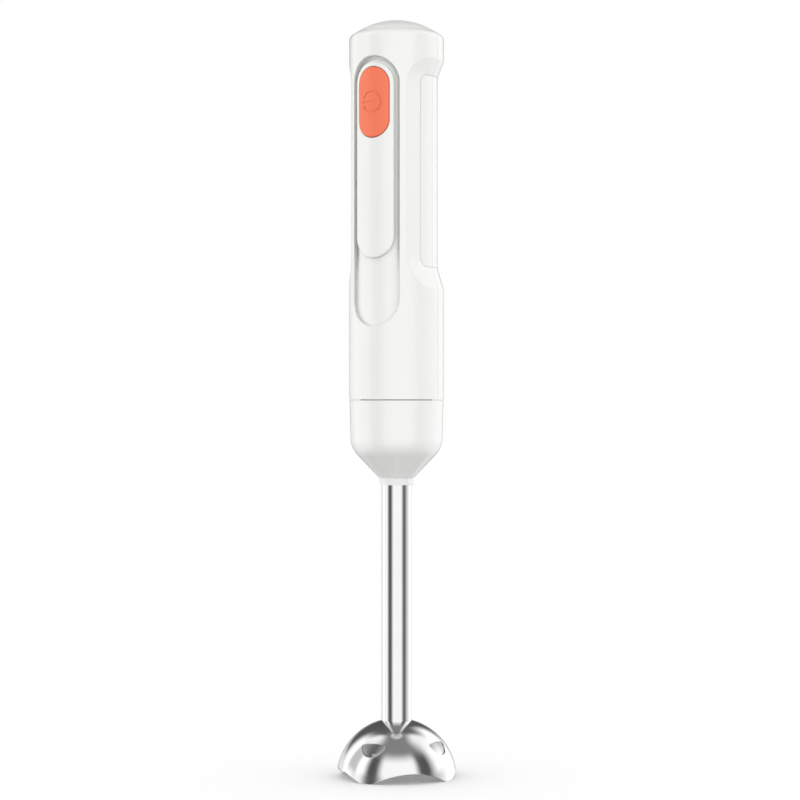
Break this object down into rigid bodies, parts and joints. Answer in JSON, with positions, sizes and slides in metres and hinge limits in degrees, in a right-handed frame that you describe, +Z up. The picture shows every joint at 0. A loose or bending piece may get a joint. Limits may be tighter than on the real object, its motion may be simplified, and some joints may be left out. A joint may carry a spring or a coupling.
{
  "type": "immersion blender",
  "caption": "Cordless stick blender: slim white handle with a long push button, twist-off foot, steel shaft and a polished bell guard over a two-wing blade.",
  "frame": {"origin": "on the blender's axis at the height of the bell guard's four feet", "axes": "+Z up the shaft to the cap, -Y to the front with the button, +X to the object's right as it faces the viewer's right"},
  "size_m": [0.0634, 0.0634, 0.3995],
  "materials": {
    "white_shell": "satin moulded ABS, warm white",
    "white_cap": "satin moulded ABS, warm white",
    "white_panel": "gloss moulded ABS, warm white",
    "white_hub": "satin moulded ABS, warm white",
    "clear_collar": "frosted translucent polypropylene",
    "coral_button": "satin coral orange ABS with an engraved ring and bar",
    "rubber_cover": "soft light grey silicone",
    "polished_tube": "polished stainless steel",
    "polished_bell": "polished stainless steel",
    "blade_steel": "ground stainless steel",
    "bright_steel": "bright stainless steel",
    "zinc_steel": "zinc-plated steel",
    "grey_nylon": "grey glass-filled nylon",
    "bronze": "sintered bronze",
    "black_plastic": "black moulded plastic",
    "white_plastic": "white nylon",
    "can_aluminium": "plain aluminium",
    "green_board": "green solder-masked glass-fibre board",
    "cell_wrap": "blue heat-shrink wrap",
    "nickel": "nickel strip",
    "red_wire": "red silicone insulation",
    "ferrite": "dark sintered ferrite",
    "carbon": "pressed carbon",
    "copper": "enamelled copper",
    "lamination": "stacked electrical steel",
    "black_rubber": "black rubber"
  },
  "bodies": {
    "handle": {"front_housing": "white_shell", "rear_housing": "white_shell", "top_cap": "white_cap", "control_panel": "white_panel", "bayonet_ring": "grey_nylon", "ring_screws": "zinc_steel", "motor_screws": "zinc_steel", "control_board": "green_board", "switch_body": "black_plastic", "power_transistor": "black_plastic", "heat_sink": "can_aluminium", "capacitor": "can_aluminium", "lead_connector": "white_plastic", "lead_wires": "red_wire", "battery_cells": "cell_wrap", "battery_tabs": "nickel", "battery_holder": "black_plastic", "charge_board": "green_board", "charge_socket": "bright_steel", "button_spring": "bright_steel", "motor_bracket": "zinc_steel", "motor_can": "zinc_steel", "motor_end_cap": "black_plastic", "motor_magnets": "ferrite", "motor_bushes": "bronze", "carbon_brushes": "carbon", "rubber_ring": "black_rubber"},
    "button": {"power_button": "coral_button"},
    "plunger": {"switch_plunger": "white_plastic"},
    "cover": {"port_cover": "rubber_cover"},
    "rotor": {"motor_shaft": "bright_steel", "armature_core": "lamination", "armature_windings": "copper", "commutator": "copper", "cooling_fan": "black_plastic", "drive_coupling": "grey_nylon"},
    "foot": {"foot_hub": "white_hub", "tube_clamp": "grey_nylon", "clamp_screws": "zinc_steel", "shaft_collar": "clear_collar", "shaft_tube": "polished_tube", "bell_guard": "polished_bell", "upper_bush": "bronze", "lower_bush": "bronze", "shaft_seal": "black_rubber", "seal_retainer": "bright_steel"},
    "blade_drive": {"drive_shaft": "bright_steel", "driven_coupling": "grey_nylon", "thrust_washers": "bright_steel", "retaining_clip": "bright_steel", "blade_spacer": "bright_steel", "blade": "blade_steel", "blade_nut": "bright_steel"}
  },
  "joints": [
    {"name": "button_press", "type": "slide", "parent": "handle", "child": "button", "axis": [0, 1, 0], "range_m": [0, 0.0015], "stiffness_N_per_m": 800, "springref_m": -0.0006, "deforming": ["button_spring"]},
    {"name": "plunger_press", "type": "slide", "parent": "handle", "child": "plunger", "axis": [0, 1, 0], "range_m": [0, 0.0015], "stiffness_N_per_m": 200, "springref_m": -0.0004},
    {"name": "cover_hinge", "type": "hinge", "parent": "handle", "child": "cover", "pos_m": [0, 0.02505, 0.3811], "axis": [-1, 0, 0], "range_deg": [0, 110]},
    {"name": "motor_spin", "type": "hinge", "parent": "handle", "child": "rotor", "pos_m": [0, 0, 0.23], "axis": [0, 0, 1], "continuous": true},
    {"name": "foot_twist", "type": "hinge", "parent": "handle", "child": "foot", "pos_m": [0, 0, 0.19], "axis": [0, 0, 1], "range_deg": [0, 24]},
    {"name": "blade_spin", "type": "hinge", "parent": "foot", "child": "blade_drive", "pos_m": [0, 0, 0.1], "axis": [0, 0, 1], "continuous": true}
  ],
  "couplings": [
    {"joint": "plunger_press", "follows": "button_press", "ratio": 1},
    {"joint": "blade_spin", "follows": "motor_spin", "ratio": 1}
  ]
}
